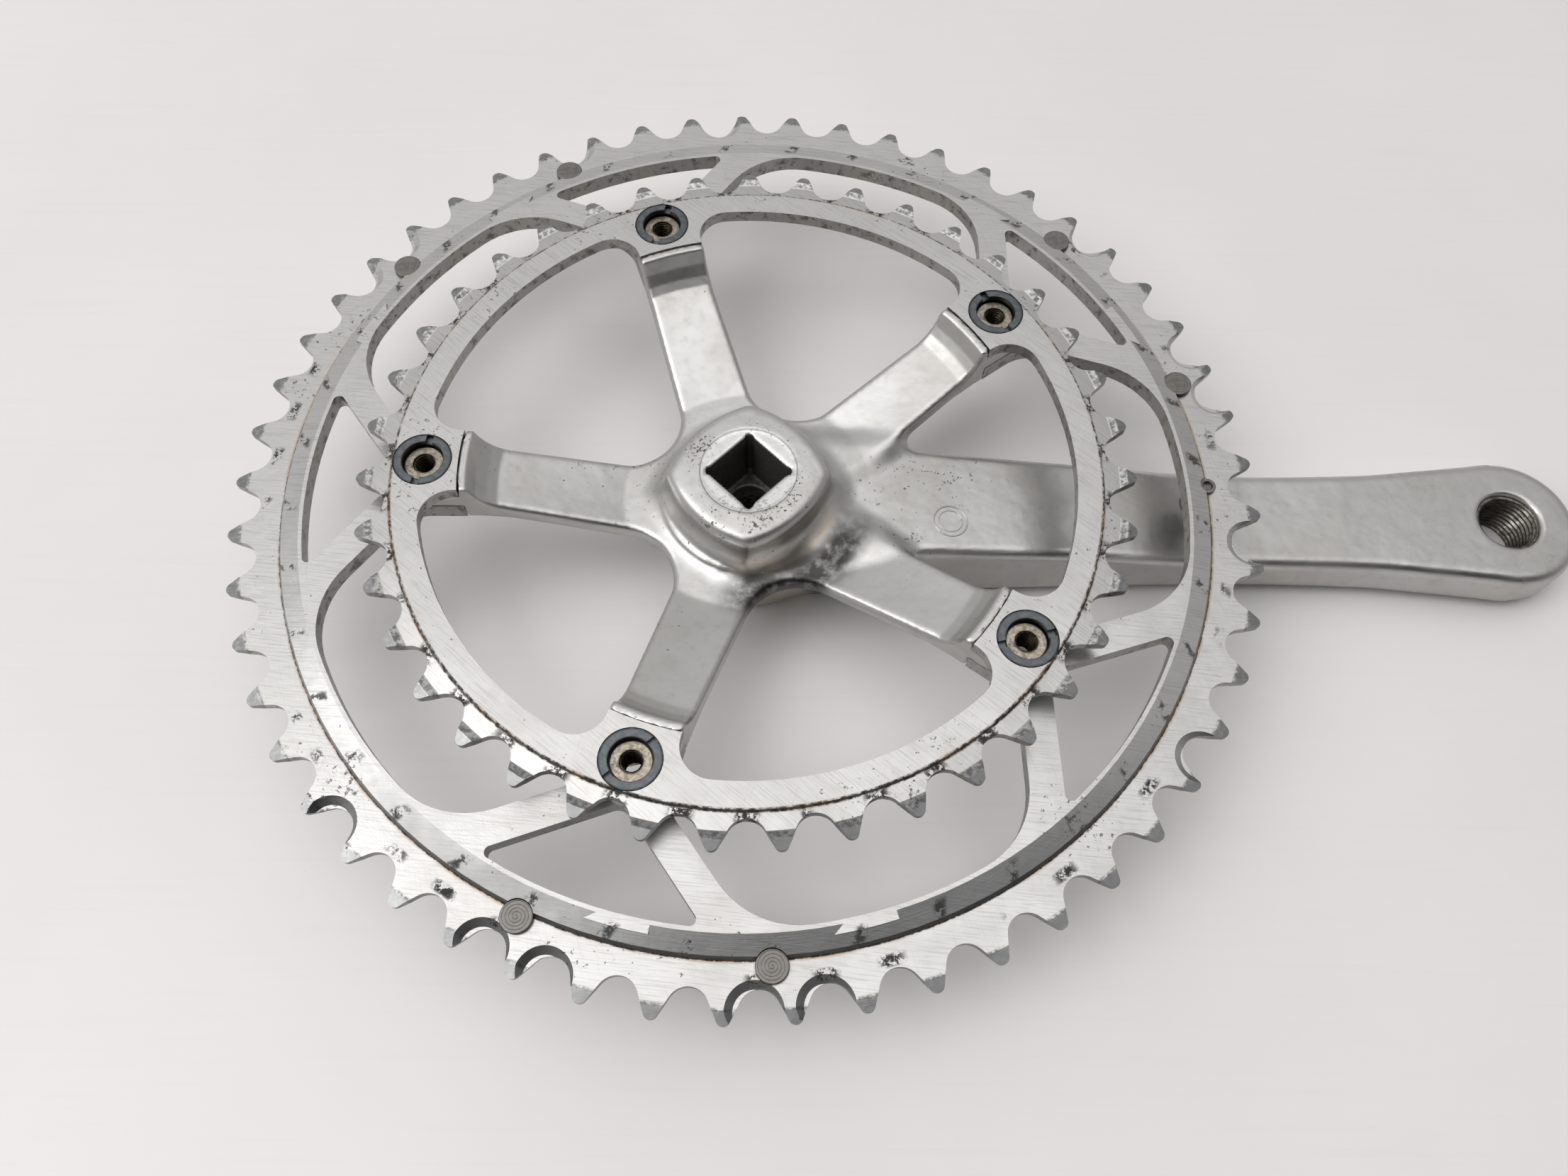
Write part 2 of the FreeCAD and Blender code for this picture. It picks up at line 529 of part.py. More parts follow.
def spider_profile():
    """Radial section of the spider: dished towards the hub, with a shoulder for each ring."""
    end_r = BOLT_R + 2 * TAB_HALF
    axis_top, axis_back = Vector(0, 0, SPIDER_ROOT_Z), Vector(0, 0, SPIDER_ROOT_Z - SPIDER_THICK)
    root_top, root_back = axis_top + Vector(FLARE_R, 0, 0), axis_back + Vector(FLARE_R, 0, 0)
    lip, dish_foot = Vector(LIP_R, 0, LIP_TOP), Vector(DISH_FOOT_R, 0, DISH_FOOT_Z)
    dish = Vector(LIP_R - DISH_RUN * DISH_FOOT, 0, DISH_FOOT_Z + DISH_RISE * (LIP_TOP - DISH_FOOT_Z))
    corners = [dish_foot, root_top, axis_top, axis_back, root_back,
               Vector(DISH_FOOT_R, 0, DISH_FOOT_Z - SPIDER_THICK),
               Vector(PILOT_R - BACK_SHOULDER, 0, OUTER_BACK),
               Vector(PILOT_R, 0, OUTER_BACK), Vector(PILOT_R, 0, TAB_BACK),
               Vector(end_r, 0, TAB_BACK), Vector(end_r, 0, INNER_BACK),
               Vector(PILOT_R, 0, INNER_BACK), Vector(PILOT_R, 0, LIP_TOP), lip]
    return [arc(lip, dish, dish_foot)] + [line(a, b) for a, b in zip(corners, corners[1:])]


def spider():
    plate = prism(spider_outline(), OUTBOARD, INNER_FACE)
    return plate.common(turned(spider_profile()))


def boss():
    """Rounded-square boss round the spindle socket, and the flare that runs out into the spider."""
    corners = [at(BOSS_CORNER, 90 * k) for k in range(4)]
    sides = [at(BOSS_SIDE, 90 * k + 45) for k in range(4)]
    outline = [arc(a, side, b) for a, side, b in zip(corners, sides, corners[1:] + corners[:1])]
    block = prism(outline, SPIDER_ROOT_Z - OVER, 0)
    block = block.makeFillet(BOSS_CORNER_R, [e for e in block.Edges if e.BoundBox.ZLength > OVER])
    block = block.makeFillet(BOSS_EDGE_R, edges_at(block, 0))
    top = Vector(BOSS_SIDE - FLARE_INSET, 0, -BOSS_FLARE_TOP)
    foot = Vector(FLARE_R, 0, SPIDER_ROOT_Z)
    quarter = math.sqrt(0.5)
    middle = Vector(foot.x + (top.x - foot.x) * quarter, 0, top.z + (foot.z - top.z) * quarter)
    corners = [foot, Vector(FLARE_R, 0, foot.z - OVER), Vector(0, 0, foot.z - OVER), Vector(0, 0, top.z), top]
    flare = turned([arc(top, middle, foot)] + [line(a, b) for a, b in zip(corners, corners[1:])])
    return [block, flare]


def arm_plan():
    """Outline of the crank arm seen along the spindle: waisted sides that run into a round eye."""
    root = Vector(0, ARM_ROOT_HALF_WIDE, 0)
    eye_start = Vector(CRANK_LENGTH, 0, 0) + at(EYE_R, EYE_JOIN)
    side = Part.BSplineCurve()
    side.interpolate(Points=[root, Vector(CRANK_LENGTH * ARM_HIP_AT, ARM_HIP_HALF, 0),
                             Vector(CRANK_LENGTH * ARM_WAIST_AT, ARM_WAIST_HALF, 0), eye_start],
                     InitialTangent=Vector(1, 0, 0), FinalTangent=at(1, EYE_JOIN - 90))
    upper = side.toShape()
    lower = upper.mirror(Vector(0, 0, 0), Vector(0, 1, 0))
    eye = arc(eye_start, Vector(CRANK_LENGTH + EYE_R, 0, 0), mirrored([eye_start])[0])
    return [upper, eye, lower, line(*mirrored([root]), root)]


def arm_section():
    """Outline of the crank arm seen from its side: flat outboard, thinning towards the eye inboard."""
    far = CRANK_LENGTH + EYE_R + OVER
    flat_start = Vector(CRANK_LENGTH * ARM_FLAT_AT, 0, EYE_FACE)
    top = Part.BSplineCurve()
    top.interpolate(Points=[Vector(0, 0, SPIDER_ROOT_Z), Vector(FLARE_R, 0, SPIDER_ROOT_Z - ARM_HIP_DROP),
                            Vector(BOLT_R, 0, (SPIDER_ROOT_Z + EYE_FACE) / 2),
                            Vector(CRANK_LENGTH * ARM_WAIST_AT, 0, EYE_FACE + ARM_WAIST_RISE), flat_start],
                    InitialTangent=Vector(1, 0, 0), FinalTangent=Vector(1, 0, 0))
    corners = [flat_start, Vector(far, 0, EYE_FACE), Vector(far, 0, OUTBOARD), Vector(0, 0, OUTBOARD),
               Vector(0, 0, SPIDER_ROOT_Z)]
    return [top.toShape()] + [line(a, b) for a, b in zip(corners, corners[1:])]


def crank_arm_body():
    """Crank arm from the hub out to the round pedal eye, with its long edges rounded."""
    width = EYE_R + OVER
    section = Part.Face(Part.Wire(arm_section())).extrude(Vector(0, 2 * width, 0))
    section.translate(Vector(0, -width, 0))
    arm = prism(arm_plan(), OUTBOARD, 0).common(section)
    inboard = [e for e in arm.Edges if e.BoundBox.ZMin > EYE_FACE - OVER and e.BoundBox.XMax > HUB_R]
    arm = arm.makeFillet(ARM_EDGE_R, inboard)
    outboard = [e for e in edges_at(arm, OUTBOARD) if e.BoundBox.XMax > HUB_R]
    return arm.makeFillet(ARM_BACK_R, outboard)


def spindle_socket():
    """Square taper, corners on the X and Y axes, with rounded corners."""
    wires = []
    for depth in (-OVER, SOCKET_DEEP):
        across = SOCKET_ACROSS - 2 * depth * math.tan(math.radians(SOCKET_TAPER))
        wire = Part.Wire(rounded_square(across, SOCKET_CORNER_R))
        wire.translate(Vector(0, 0, -depth))
        wires.append(wire)
    return Part.makeLoft(wires, True, True)


def hub_cuts():
    recess_top = -(SOCKET_DEEP + SHELF_THICK)
    return [spindle_socket(),
            cylinder(SPOTFACE_R, -SPOTFACE_DEEP, OVER),
            cylinder(CRANK_BOLT_R, recess_top - OVER, OVER - SOCKET_DEEP),
            cylinder(EXTRACTOR_R, OUTBOARD - OVER, recess_top),
            cone(EXTRACTOR_R + MOUTH_CHAMFER + OVER, EXTRACTOR_R, OUTBOARD - OVER, OUTBOARD + MOUTH_CHAMFER)]


def pedal_hole():
    centre = Vector(CRANK_LENGTH, 0, 0)
    return [cylinder(PEDAL_R, OUTBOARD - OVER, EYE_FACE + OVER, centre),
            cone(PEDAL_R, PEDAL_MOUTH_R + PEDAL_MOUTH_WIDE, EYE_FACE - PEDAL_MOUTH_DEEP,
                 EYE_FACE + PEDAL_MOUTH_DEEP, centre)]


def crank_arm():
    hub = cylinder(HUB_R, OUTBOARD, SPIDER_ROOT_Z)
    hub = hub.makeFillet(HUB_EDGE_R, edges_at(hub, OUTBOARD))
    body = spider().fuse(boss() + [hub, crank_arm_body()])
    for cutter in hub_cuts() + pedal_hole():
        body = body.cut(cutter)
    return body.cut(Part.makeCompound(bolt_holes(OUTBOARD, INNER_FACE))).removeSplitter()


# ---------------------------------------------------------------- build and export
def pieces():
    nodes = {"crank_arm": crank_arm(), "inner_chainring": inner_chainring(),
             "outer_chainring": outer_chainring(), "chain_stop_pin": chain_stop_pin()}
    bolt = chainring_bolt()
    for number, (angle, slot_angle) in enumerate(zip(ARM_ANGLES, NUT_SLOT_ANGLES), start=1):
        nodes["chainring_nut_%d" % number] = turn(chainring_nut(slot_angle - angle), angle)
        nodes["chainring_bolt_%d" % number] = turn(bolt, angle)
    for number, angle in enumerate(PIN_ANGLES, start=1):
        nodes["shift_pin_%d" % number] = shift_pin(angle)
    return nodes


os.makedirs("parts", exist_ok=True)
for name, shape in pieces().items():
    if len(shape.Solids) == 1:
        shape = shape.Solids[0]
    shape.exportStep("parts/%s.step" % name)
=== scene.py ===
import math

import bpy
import numpy as np
from mathutils import Matrix, Vector


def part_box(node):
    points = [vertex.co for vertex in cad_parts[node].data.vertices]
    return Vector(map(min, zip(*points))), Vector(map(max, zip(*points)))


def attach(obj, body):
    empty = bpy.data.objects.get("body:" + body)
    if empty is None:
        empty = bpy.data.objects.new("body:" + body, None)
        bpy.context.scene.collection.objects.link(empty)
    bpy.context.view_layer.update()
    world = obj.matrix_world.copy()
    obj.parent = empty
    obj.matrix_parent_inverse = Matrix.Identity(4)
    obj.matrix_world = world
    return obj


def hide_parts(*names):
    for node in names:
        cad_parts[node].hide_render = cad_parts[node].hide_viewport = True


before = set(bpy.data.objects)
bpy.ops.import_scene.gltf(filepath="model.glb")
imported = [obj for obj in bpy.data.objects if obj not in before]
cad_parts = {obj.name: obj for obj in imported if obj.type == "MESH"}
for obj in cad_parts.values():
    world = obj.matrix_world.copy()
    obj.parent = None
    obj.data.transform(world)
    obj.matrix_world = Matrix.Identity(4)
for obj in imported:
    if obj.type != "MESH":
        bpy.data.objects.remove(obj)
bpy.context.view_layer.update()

# Drive-side bicycle crankset lying on its outboard side on a pale table.
# The forging (crank arm, spider and hub) is modelled here as one smooth blended body; the
# toothed rings, nuts, bolts and pins are the imported solids. All metal materials show wear
# and also carry painted shade, shadow, reflections and highlights.
# Lengths below are millimetres in the part's frame: +X along the arm, +Z inboard.
MM = 0.001

# ---------------------------------------------------------------- the object's own sizes
ARMS = 5
FIRST_ARM = math.radians(36.0)
SECTOR = 2 * math.pi / ARMS
CRANK_LENGTH = 172.5
BOLT_R = 67.5
OUTBOARD = -32.3             # outboard face of the arm
INNER_FACE = 3.2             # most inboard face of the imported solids

PILOT_R = 60.0               # shoulder that centres both rings
LIP_R = 58.3
TAB_HALF = 7.28              # half width of a bolt tab
LIP_HALF = 7.37              # half width of a spider arm at its lip
HUB_HALF = 8.96              # the same, carried on to the spindle axis
SPIDER_TAPER = 0.0273        # half width lost for each unit of radius
CROTCH_R = 12.0
ROOT_Z = -11.3               # inboard surface of the spider at the hub
SPIDER_TOP = [(0, ROOT_Z), (27, ROOT_Z), (50.5, -4.4), (53.2, -3.6), (55.2, -2.2), (56.9, -0.2),
              (LIP_R, 2.9), (PILOT_R, 2.9), (60.05, 0.2)]
SPIDER_BACK = [(0, -15.7), (27, -15.7), (50.5, -8.8), (57.5, -7.7), (PILOT_R, -7.7), (60.05, -3.8)]
SPIDER_TILT = [(50.5, 0.96), (53.2, 0.9), (55.2, 0.75), (56.9, 0.6), (58.2, 0.45), (58.35, 1)]
SPIDER_EDGE = [(52, 1.5), (PILOT_R, 0.35)]      # edge rounding
BACK_TILT = 0.96
SPIDER_FILLET = 5.0          # between the spider and the crank arm

ARM_HALF = [(0, 15.6), (47.3, 13.7), (107, 12.2), (140, 12.8), (156, 14.3), (CRANK_LENGTH, 15.7)]
ARM_START = -4.0             # the arm ends inside the hub
ARM_DRAFT = 0.05
DRAFT_FROM = OUTBOARD + 6
ARM_EDGE, OUTBOARD_EDGE = 2.4, 5.0              # edge roundings
EYE_R = 15.9
EYE_FACE = -19.5             # inboard face of the pedal eye
EYE_BORE_R = 6.9             # holds the threaded sleeve
EYE_MOUTH_R = 6.5            # bottom of the 45 degree countersink
EYE_MOUTH_DEEP = 1.0
ARM_TOP = [(0, -11.1), (27, -11.2), (48, -13.0), (71, -15.2), (107, -19.1), (136, EYE_FACE),
           (190, EYE_FACE)]
MARK = (44.0, -5.0)          # plain round forging mark on the arm

HUB_R, HUB_EDGE, HUB_FILLET = 17.5, 2.5, 2.0
BOSS_SIDE_R = 26.7           # the boss is a square with bulged sides of this radius
BOSS_SIDE_AT = 8.07          # offset of those arcs' centres
BOSS_CORNER, BOSS_SHRINK = 0.7, 0.2
BOSS_DOME = 0.05             # fall of the boss face for each unit of radius
BOSS_DOME_RISE = 0.5
BOSS_EDGE, BOSS_FLARE = 2.2, 6.5
SOCKET_HALF, SOCKET_CORNER_R, SOCKET_DEEP = 6.5, 1.6, 14.0
SOCKET_TAPER = math.radians(2.0)
GROOVE_AT, GROOVE_R = 8.2, 0.95                 # relief grooves in the socket's corners
SPOTFACE_R, SPOTFACE_DEEP = 10.1, 0.25
CRANK_BOLT_R = 4.25
SHELF_Z = -18.0              # outboard side of the shelf under the crank bolt's head
EXTRACTOR_R = 10.5
CHAMFER = 0.8
BOLT_HOLE_R = 5.1
LINER_ENDS = (-5.3, 1.2)     # threaded sleeve inside each hollow bolt
SLOPE_45 = 0.707             # turns a 45 degree slope's field into a distance
CUT_OVER = 3.0               # how far hidden ends run into the next body

# ---------------------------------------------------------------- distance-field helpers
def smooth_max(a, b, k):
    """The larger of two fields, blended over a width of k."""
    h = np.clip(0.5 - 0.5 * (b - a) / k, 0, 1)
    return b + (a - b) * h + k * h * (1 - h)


def smooth_min(a, b, k):
    return -smooth_max(-a, -b, k)


def round_both(a, b, radius):
    """Common volume of two fields, with the edge between them rounded."""
    corner = np.hypot(np.maximum(a + radius, 0), np.maximum(b + radius, 0))
    return np.minimum(np.maximum(a, b), -radius) + corner


def round_join(a, b, radius):
    """Union of two fields, with a fillet in the crease between them."""
    crease = np.hypot(np.maximum(radius - a, 0), np.maximum(radius - b, 0))
    return np.maximum(np.minimum(a, b), radius) - crease


def curve(points, x):
    """Smooth curve through (x, value) points: cubic, level at both ends."""
    xs, ys = np.array(points, float).T
    slope = np.zeros_like(xs)
    slope[1:-1] = (ys[2:] - ys[:-2]) / (xs[2:] - xs[:-2])
    k = np.clip(np.searchsorted(xs, x) - 1, 0, len(xs) - 2)
    span = xs[k + 1] - xs[k]
    t = np.clip((x - xs[k]) / span, 0, 1)
    low = (1 + 2 * t) * (1 - t) ** 2 * ys[k] + t * (1 - t) ** 2 * span * slope[k]
    high = t * t * (3 - 2 * t) * ys[k + 1] + t * t * (t - 1) * span * slope[k + 1]
    return low + high


def profile(points, x):
    """Broken line through (x, value) points."""
    xs, ys = zip(*points)
    return np.interp(x, xs, ys)


def disc(x, y, cx, radius):
    """Distance from the wall of an upright cylinder standing on the X axis."""
    return np.hypot(x - cx, y) - radius


# ---------------------------------------------------------------- the forging
def fold(x, y):
    """Radius, and the angle from the nearest spider arm's centre line."""
    folded = np.mod(np.arctan2(y, x) - FIRST_ARM + SECTOR / 2, SECTOR) - SECTOR / 2
    return np.hypot(x, y), folded


def spider_field(x, y, z):
    """Five tapered arms, dished towards the hub, with rounded edges and round crotches."""
    radius, folded = fold(x, y)
    u, v = radius * np.cos(folded), radius * np.abs(np.sin(folded))
    side = v - profile([(0, HUB_HALF), (LIP_R, LIP_HALF), (PILOT_R, TAB_HALF), (BOLT_R, TAB_HALF)], u)
    half = SECTOR / 2
    crotch_at = (CROTCH_R + HUB_HALF) / (math.sin(half) + SPIDER_TAPER * math.cos(half))
    cu, cv = crotch_at * math.cos(half), crotch_at * math.sin(half)
    crotch = CROTCH_R - np.hypot(u - cu, v - cv)
    beside_arm = np.abs(np.arctan2(y, x)) < half
    side = np.where((u < cu) & ~beside_arm, np.minimum(side, crotch), side)
    side = np.where(u > BOLT_R, np.hypot(u - BOLT_R, v) - TAB_HALF, side)
    above = (z - profile(SPIDER_TOP, radius)) * profile(SPIDER_TILT, radius)
    below = (profile(SPIDER_BACK, radius) - z) * BACK_TILT
    return round_both(side, np.maximum(above, below), profile(SPIDER_EDGE, radius))


def arm_field(x, y, z):
    """The crank arm: waisted, thinning inboard towards the round pedal eye, flat outboard."""
    half_width = curve(ARM_HALF, x)
    strip = np.maximum(np.maximum(np.abs(y) - half_width, x - CRANK_LENGTH), ARM_START - x)
    plan = smooth_min(strip, disc(x, y, CRANK_LENGTH, EYE_R), 1.0)
    draft = ARM_DRAFT * np.maximum(z - DRAFT_FROM, 0)
    arm = round_both(plan + draft, z - curve(ARM_TOP, x), ARM_EDGE)
    return round_both(arm, OUTBOARD - z, OUTBOARD_EDGE)


def boss_field(x, y, z):
    """Rounded square with bulged sides, corners on the X and Y axes, and a slightly domed face."""
    x, y = np.abs(x), np.abs(y)
    side = np.hypot(x + BOSS_SIDE_AT, y + BOSS_SIDE_AT) - BOSS_SIDE_R
    side = smooth_max(side, np.hypot(x + BOSS_SIDE_AT, y - BOSS_SIDE_AT) - BOSS_SIDE_R, BOSS_CORNER)
    side = smooth_max(side, np.hypot(x - BOSS_SIDE_AT, y + BOSS_SIDE_AT) - BOSS_SIDE_R, BOSS_CORNER)
    face = z + BOSS_DOME * np.hypot(x, y) - BOSS_DOME_RISE
    return np.maximum(round_both(side - BOSS_SHRINK, face, BOSS_EDGE), ROOT_Z - CUT_OVER - z)


def socket_field(x, y, z):
    """Square taper with rounded corners on the X and Y axes."""
    half = SOCKET_HALF + z * math.tan(SOCKET_TAPER) - SOCKET_CORNER_R
    a, b = np.abs(x + y) / math.sqrt(2) - half, np.abs(x - y) / math.sqrt(2) - half
    square = np.hypot(np.maximum(a, 0), np.maximum(b, 0)) + np.minimum(np.maximum(a, b), 0)
    return np.maximum(square - SOCKET_CORNER_R, -SOCKET_DEEP - z)


def forging_field(x, y, z):
    """The whole forging: spider, crank arm, hub and boss, less its holes."""
    radius, folded = fold(x, y)
    hub = np.maximum(round_both(disc(x, y, 0, HUB_R), OUTBOARD - z, HUB_EDGE), z - ROOT_Z)
    body = round_join(spider_field(x, y, z), arm_field(x, y, z), SPIDER_FILLET)
    body = round_join(body, hub, HUB_FILLET)
    body = round_join(body, boss_field(x, y, z), BOSS_FLARE)
    groove = np.minimum(np.hypot(np.abs(x) - GROOVE_AT, y), np.hypot(x, np.abs(y) - GROOVE_AT))
    recess_mouth = (radius - EXTRACTOR_R + (z - OUTBOARD) - CHAMFER) * SLOPE_45
    eye_mouth = disc(x, y, CRANK_LENGTH, EYE_MOUTH_R) - (z - EYE_FACE + EYE_MOUTH_DEEP)
    cuts = [socket_field(x, y, z),
            np.hypot(radius * np.cos(folded) - BOLT_R, radius * np.sin(folded)) - BOLT_HOLE_R,
            np.maximum(groove - GROOVE_R, -SOCKET_DEEP - z),
            np.maximum(radius - SPOTFACE_R, -SPOTFACE_DEEP - z),
            np.maximum(radius - CRANK_BOLT_R, SHELF_Z - 0.5 - z),
            np.maximum(radius - EXTRACTOR_R, z - SHELF_Z),
            np.maximum(recess_mouth, z - OUTBOARD - 2),
            disc(x, y, CRANK_LENGTH, EYE_BORE_R),
            np.maximum(eye_mouth, EYE_FACE - CUT_OVER - z) * SLOPE_45]
    for cut in cuts:
        body = np.maximum(body, -cut)
    return body


def surface(field, low, high, step):
    """Quads on the zero level of a distance field, one vertex for each crossed cell."""
    axes = [np.arange(a, b + step, step, dtype=np.float32) for a, b in zip(low, high)]
    value = np.empty([len(axis) for axis in axes], np.float32)
    for k, x in enumerate(axes[0]):
        y, z = np.meshgrid(axes[1], axes[2], indexing="ij")
        value[k] = field(np.full_like(y, x), y, z)
    inside = value < 0
    shape = np.array(value.shape) - 1
    offsets = [(i, j, k) for i in (0, 1) for j in (0, 1) for k in (0, 1)]

    def corner_block(array, o):
        return array[o[0]:o[0] + shape[0], o[1]:o[1] + shape[1], o[2]:o[2] + shape[2]]

    count = sum(corner_block(inside, o).astype(np.int8) for o in offsets)
    cells = np.argwhere((count > 0) & (count < 8))
    total, weight = np.zeros((len(cells), 3)), np.zeros(len(cells))
    for a in offsets:
        for axis in range(3):
            if a[axis]:
                continue
            b = tuple(c + (axis == n) for n, c in enumerate(a))
            va = value[tuple((cells + a).T)]
            vb = value[tuple((cells + b).T)]
            crossed = (va < 0) != (vb < 0)
            t = np.where(crossed, va / np.where(crossed, va - vb, 1), 0)
            point = cells + np.array(a, float)
            point[:, axis] += t
            total += point * crossed[:, None]
            weight += crossed
    points = total / weight[:, None] * step + np.array(low)
    index = np.full(shape, -1, np.int64)
    index[tuple(cells.T)] = np.arange(len(cells))
    quads = []
    for axis in range(3):
        n, m = (axis + 1) % 3, (axis + 2) % 3
        first = np.take(inside, range(0, inside.shape[axis] - 1), axis=axis)
        second = np.take(inside, range(1, inside.shape[axis]), axis=axis)
        edges = np.argwhere(first != second)
        u, v = edges[:, n], edges[:, m]
        edges = edges[(u > 0) & (v > 0) & (u < shape[n]) & (v < shape[m])]
        leaving = first[tuple(edges.T)]
        ring = []
        for dn, dm in ((-1, -1), (0, -1), (0, 0), (-1, 0)):
            cell = edges.copy()
            cell[:, n] += dn
            cell[:, m] += dm
            ring.append(index[tuple(cell.T)])
        quad = np.stack(ring, axis=1)
        quad[~leaving] = quad[~leaving][:, ::-1]
        quads.append(quad)
    return points, np.concatenate(quads)


def settle(points, field):
    """Moves vertices onto the field's zero level, and keeps them inside the object's height."""
    nudge, longest_move, least_slope, rounds = 0.05, 0.3, 0.3, 3
    for _ in range(rounds):
        x, y, z = points.T
        here = field(x, y, z)
        slope = np.stack([field(x + nudge, y, z) - field(x - nudge, y, z),
                          field(x, y + nudge, z) - field(x, y - nudge, z),
                          field(x, y, z + nudge) - field(x, y, z - nudge)], axis=1) / (2 * nudge)
        size = np.maximum((slope ** 2).sum(axis=1), least_slope)
        move = slope * (here / size)[:, None]
        length = np.maximum(np.linalg.norm(move, axis=1), 1e-9)
        move *= np.minimum(1, longest_move / length)[:, None]
        points = points - move
    points[:, 2] = np.clip(points[:, 2], OUTBOARD, INNER_FACE)
    return points


def mesh_object(name, points, faces):
    """A smooth-shaded object from points in millimetres."""
    mesh = bpy.data.meshes.new(name)
    mesh.from_pydata((np.asarray(points) * MM).tolist(), [], [list(map(int, f)) for f in faces])
    mesh.validate()
    mesh.update()
    for polygon in mesh.polygons:
        polygon.use_smooth = True
    piece = bpy.data.objects.new(name, mesh)
    bpy.context.scene.collection.objects.link(piece)
    return piece


def forging():
    cell = 0.6
    low, high = (-77.2, -73.9, -33.5), (190.1, 74.1, 4.6)       # a little outside the forging
    points, quads = surface(forging_field, low, high, cell)
    return mesh_object("forging", settle(points, forging_field), quads)


def thread(name, centre, low, high, crest, root, outer, pitch):
    """Sleeve with a helical thread inside it."""
    around, per_pitch = 72, 10
    flank = 2.4                                 # 2 would be a sharp V, more leaves a flat root
    rows = int((high - low) / pitch * per_pitch)
    points, faces = [], []
    for row in range(rows + 1):
        z = low + (high - low) * row / rows
        for k in range(around):
            angle = 2 * math.pi * k / around
            phase = (z / pitch + k / around) % 1
            radius = crest + (root - crest) * min(1, flank * min(phase, 1 - phase))
            points.append((centre[0] + radius * math.cos(angle), centre[1] + radius * math.sin(angle), z))
    base = len(points)
    for z in (low, high):
        for k in range(around):
            angle = 2 * math.pi * k / around
            points.append((centre[0] + outer * math.cos(angle), centre[1] + outer * math.sin(angle), z))
    for k in range(around):
        j = (k + 1) % around
        for row in range(rows):
            a, b = row * around, (row + 1) * around
            faces.append((a + k, b + k, b + j, a + j))
        top = rows * around
        faces.append((base + k, base + j, base + around + j, base + around + k))
        faces.append((k, j, base + j, base + k))
        faces.append((top + k, base + around + k, base + around + j, top + j))
    return mesh_object(name, points, faces)


def round_mark(name, radius, wire=0.16):
    """Thin raised ring lying on the arm's inboard surface."""
    turns, section = 72, 8
    points, faces = [], []
    for k in range(turns):
        angle = 2 * math.pi * k / turns
        for j in range(section):
            tilt = 2 * math.pi * j / section
            reach = radius + wire * math.cos(tilt)
            x, y = MARK[0] + reach * math.cos(angle), MARK[1] + reach * math.sin(angle)
            surface_z = float(curve(ARM_TOP, np.array([x]))[0])
            points.append((x, y, surface_z + wire * math.sin(tilt)))
    for k in range(turns):
        for j in range(section):
            a, b = k * section + j, k * section + (j + 1) % section
            c, d = ((k + 1) % turns) * section + (j + 1) % section, ((k + 1) % turns) * section + j
            faces.append((a, d, c, b))
    return mesh_object(name, points, faces)


